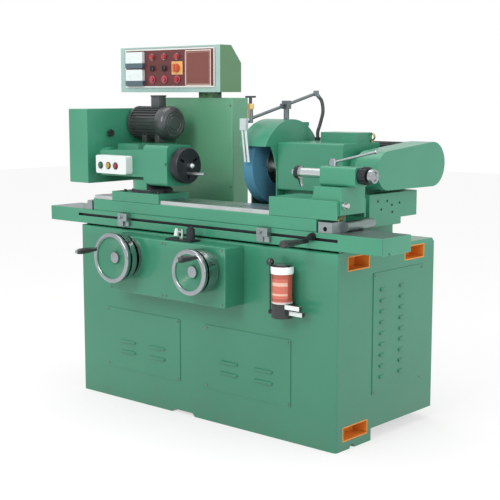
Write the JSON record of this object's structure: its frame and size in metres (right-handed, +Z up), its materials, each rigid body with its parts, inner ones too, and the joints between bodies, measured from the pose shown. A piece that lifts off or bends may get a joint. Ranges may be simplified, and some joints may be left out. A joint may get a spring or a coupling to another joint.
{
  "type": "cylindrical grinder",
  "caption": "Plain cylindrical grinder: cast base with a long sliding and swivel table, workhead, tailstock, belt driven grinding wheel head, handwheels, electric cabinet and control panel.",
  "frame": {"origin": "on the floor at the centre of the rectangle of the four anchor bolts, which is the centre of the base", "axes": "+Z up, +X to the right along the work axis from workhead to tailstock, the operator stands at -Y"},
  "size_m": [1.924, 1.1526, 1.617],
  "materials": {
    "machine_enamel": "satin enamel over cast iron and sheet",
    "orange_paint": "gloss",
    "black_paint": "satin",
    "white_paint": "satin",
    "maroon_panel": "satin, bare of lettering",
    "bright_steel": "ground and machined",
    "dark_steel": "blackened",
    "chrome_trim": "polished",
    "motor_grey": "satin",
    "black_plastic": "moulded",
    "meter_face": "white scale under a clear window",
    "pink_plastic": "moulded",
    "red_plastic": "moulded",
    "green_plastic": "moulded",
    "yellow_plastic": "moulded",
    "orange_plastic": "moulded",
    "oil_can": "clear reservoir with red oil and a bare label",
    "wheel_abrasive": "bonded abrasive, blue",
    "belt_rubber": "moulded",
    "hose_rubber": "ribbed"
  },
  "bodies": {
    "base": {"base_cabinet": "machine_enamel", "access_doors": "machine_enamel", "lifting_sockets": "orange_paint", "levelling_feet": "dark_steel", "feed_box": "machine_enamel", "base_screws": "dark_steel", "lubricator_pump": "black_paint", "oil_reservoir": "oil_can", "reversing_valve": "dark_steel", "electrical_cabinet": "machine_enamel", "control_panel": "machine_enamel", "panel_fascia": "maroon_panel", "panel_instruments": "meter_face"},
    "oil_lever": {"lubricator_lever": "black_paint"},
    "reverse_lever": {"reversing_lever": "bright_steel"},
    "left_wheel": {"left_handwheel": "chrome_trim"},
    "left_grip": {"left_crank_grip": "black_plastic"},
    "right_wheel": {"right_handwheel": "chrome_trim"},
    "right_grip": {"right_crank_grip": "black_plastic"},
    "knob_speed": {"speed_knob": "black_plastic"},
    "knob_timer": {"timer_knob": "black_plastic"},
    "switch_main": {"main_switch": "orange_plastic"},
    "push_start": {"start_push": "pink_plastic"},
    "push_inch": {"inch_push": "pink_plastic"},
    "push_stop": {"stop_push": "red_plastic"},
    "table": {"sliding_table": "machine_enamel", "table_end_clamps": "dark_steel"},
    "dog_l": {"left_dog": "bright_steel"},
    "dog_r": {"right_dog": "bright_steel"},
    "bench_lever": {"table_lever": "dark_steel"},
    "upper_table": {"swivel_table": "machine_enamel", "workhead_base": "machine_enamel"},
    "workhead": {"workhead_housing": "machine_enamel", "workhead_motor": "motor_grey", "workhead_belt_guard": "machine_enamel", "button_station": "white_paint"},
    "star_knob": {"guard_knob": "black_plastic"},
    "button_start": {"work_start_button": "green_plastic"},
    "button_jog": {"work_jog_button": "yellow_plastic"},
    "button_stop": {"work_stop_button": "red_plastic"},
    "work_spindle": {"face_plate": "dark_steel", "work_centre": "bright_steel"},
    "tailstock": {"tailstock_base": "machine_enamel", "tailstock_barrel": "machine_enamel"},
    "sleeve": {"tailstock_sleeve": "bright_steel", "tail_centre": "bright_steel"},
    "tail_lever": {"sleeve_lever": "chrome_trim"},
    "tail_knob": {"spring_knob": "dark_steel"},
    "wheelhead": {"cross_slide": "machine_enamel", "wheelhead_casing": "machine_enamel", "wheel_guard": "machine_enamel", "spindle_belt_guard": "machine_enamel", "wheel_motor": "motor_grey", "drive_belts": "belt_rubber", "coolant_pipe": "bright_steel", "coolant_hose": "hose_rubber"},
    "motor_rotor": {"motor_pulley": "dark_steel"},
    "wheel": {"wheel_spindle": "bright_steel", "grinding_wheel": "wheel_abrasive"},
    "valve_wheel": {"coolant_valve_handle": "black_plastic"}
  },
  "joints": [
    {"name": "table_traverse", "type": "slide", "parent": "base", "child": "table", "axis": [1, 0, 0], "range_m": [-0.25, 0.19]},
    {"name": "left_handwheel_turn", "type": "hinge", "parent": "base", "child": "left_wheel", "pos_m": [-0.309, -0.46, 0.694], "axis": [0, 1, 0], "range_deg": [-1805, 1375]},
    {"name": "left_grip_spin", "type": "hinge", "parent": "left_wheel", "child": "left_grip", "pos_m": [-0.4022, -0.56, 0.7243], "axis": [0, 1, 0], "continuous": true},
    {"name": "wheelhead_infeed", "type": "slide", "parent": "base", "child": "wheelhead", "axis": [0, -1, 0], "range_m": [-0.05, 0.08]},
    {"name": "right_handwheel_turn", "type": "hinge", "parent": "base", "child": "right_wheel", "pos_m": [0.162, -0.46, 0.681], "axis": [0, 1, 0], "range_deg": [-1805, 2885]},
    {"name": "right_grip_spin", "type": "hinge", "parent": "right_wheel", "child": "right_grip", "pos_m": [0.21079, -0.56, 0.74815], "axis": [0, 1, 0], "continuous": true},
    {"name": "swivel_table_turn", "type": "hinge", "parent": "table", "child": "upper_table", "pos_m": [-0.007, -0.25, 0.864], "axis": [0, 0, 1], "range_deg": [-3, 3]},
    {"name": "workhead_swivel", "type": "hinge", "parent": "upper_table", "child": "workhead", "pos_m": [-0.365, -0.25, 0.972], "axis": [0, 0, 1], "range_deg": [0, 90]},
    {"name": "face_plate_spin", "type": "hinge", "parent": "workhead", "child": "work_spindle", "pos_m": [-0.175, -0.25, 1.084], "axis": [1, 0, 0], "continuous": true},
    {"name": "star_knob_spin", "type": "hinge", "parent": "workhead", "child": "star_knob", "pos_m": [-0.66, -0.24, 1.214], "axis": [1, 0, 0], "continuous": true},
    {"name": "start_button_press", "type": "slide", "parent": "workhead", "child": "button_start", "axis": [0, 1, 0], "range_m": [0, 0.004], "stiffness_N_per_m": 400},
    {"name": "jog_button_press", "type": "slide", "parent": "workhead", "child": "button_jog", "axis": [0, 1, 0], "range_m": [0, 0.004], "stiffness_N_per_m": 400},
    {"name": "stop_button_press", "type": "slide", "parent": "workhead", "child": "button_stop", "axis": [0, 1, 0], "range_m": [0, 0.004], "stiffness_N_per_m": 400},
    {"name": "tailstock_slide", "type": "slide", "parent": "upper_table", "child": "tailstock", "axis": [1, 0, 0], "range_m": [-0.3, 0]},
    {"name": "sleeve_slide", "type": "slide", "parent": "tailstock", "child": "sleeve", "axis": [1, 0, 0], "range_m": [0, 0.025]},
    {"name": "sleeve_lever_swing", "type": "hinge", "parent": "tailstock", "child": "tail_lever", "pos_m": [0.65, -0.25, 1.12], "axis": [0, 0, 1], "range_deg": [-41, 1]},
    {"name": "tail_knob_spin", "type": "hinge", "parent": "tailstock", "child": "tail_knob", "pos_m": [0.79, -0.25, 1.084], "axis": [1, 0, 0], "continuous": true},
    {"name": "wheel_spin", "type": "hinge", "parent": "wheelhead", "child": "wheel", "pos_m": [0.3, 0.055, 1.084], "axis": [1, 0, 0], "continuous": true},
    {"name": "motor_spin", "type": "hinge", "parent": "wheelhead", "child": "motor_rotor", "pos_m": [0.6, 0.385, 1.096], "axis": [1, 0, 0], "continuous": true},
    {"name": "coolant_valve_turn", "type": "hinge", "parent": "wheelhead", "child": "valve_wheel", "pos_m": [0.105, -0.115, 1.34], "axis": [0, 0, 1], "range_deg": [0, 360]},
    {"name": "left_dog_slide", "type": "slide", "parent": "table", "child": "dog_l", "axis": [1, 0, 0], "range_m": [-0.28, 0.35]},
    {"name": "right_dog_slide", "type": "slide", "parent": "table", "child": "dog_r", "axis": [1, 0, 0], "range_m": [-0.35, 0.16]},
    {"name": "table_lever_swing", "type": "hinge", "parent": "table", "child": "bench_lever", "pos_m": [0.63, -0.35, 0.847], "axis": [0, 1, 0], "range_deg": [-40, 25]},
    {"name": "oil_lever_pull", "type": "hinge", "parent": "base", "child": "oil_lever", "pos_m": [0.452, -0.391, 0.535], "axis": [1, 0, 0], "range_deg": [0, 40]},
    {"name": "reversing_lever_tilt", "type": "hinge", "parent": "base", "child": "reverse_lever", "pos_m": [-0.022, -0.405, 0.7893], "axis": [0, 1, 0], "range_deg": [-12, 12]},
    {"name": "speed_knob_turn", "type": "hinge", "parent": "base", "child": "knob_speed", "pos_m": [-0.671, 0.05, 1.515], "axis": [0, 1, 0], "range_deg": [-140, 140]},
    {"name": "timer_knob_turn", "type": "hinge", "parent": "base", "child": "knob_timer", "pos_m": [-0.589, 0.05, 1.515], "axis": [0, 1, 0], "range_deg": [-140, 140]},
    {"name": "main_switch_turn", "type": "hinge", "parent": "base", "child": "switch_main", "pos_m": [-0.503, 0.05, 1.515], "axis": [0, 1, 0], "range_deg": [0, 90]},
    {"name": "start_push_press", "type": "slide", "parent": "base", "child": "push_start", "axis": [0, 1, 0], "range_m": [0, 0.004], "stiffness_N_per_m": 400},
    {"name": "inch_push_press", "type": "slide", "parent": "base", "child": "push_inch", "axis": [0, 1, 0], "range_m": [0, 0.004], "stiffness_N_per_m": 400},
    {"name": "stop_push_press", "type": "slide", "parent": "base", "child": "push_stop", "axis": [0, 1, 0], "range_m": [0, 0.004], "stiffness_N_per_m": 400}
  ],
  "couplings": [
    {"joint": "left_handwheel_turn", "follows": "table_traverse", "rad_per_m": 125.66},
    {"joint": "right_handwheel_turn", "follows": "wheelhead_infeed", "rad_per_m": 628.3},
    {"joint": "sleeve_lever_swing", "follows": "sleeve_slide", "rad_per_m": -28},
    {"joint": "motor_spin", "follows": "wheel_spin", "ratio": 0.836}
  ]
}
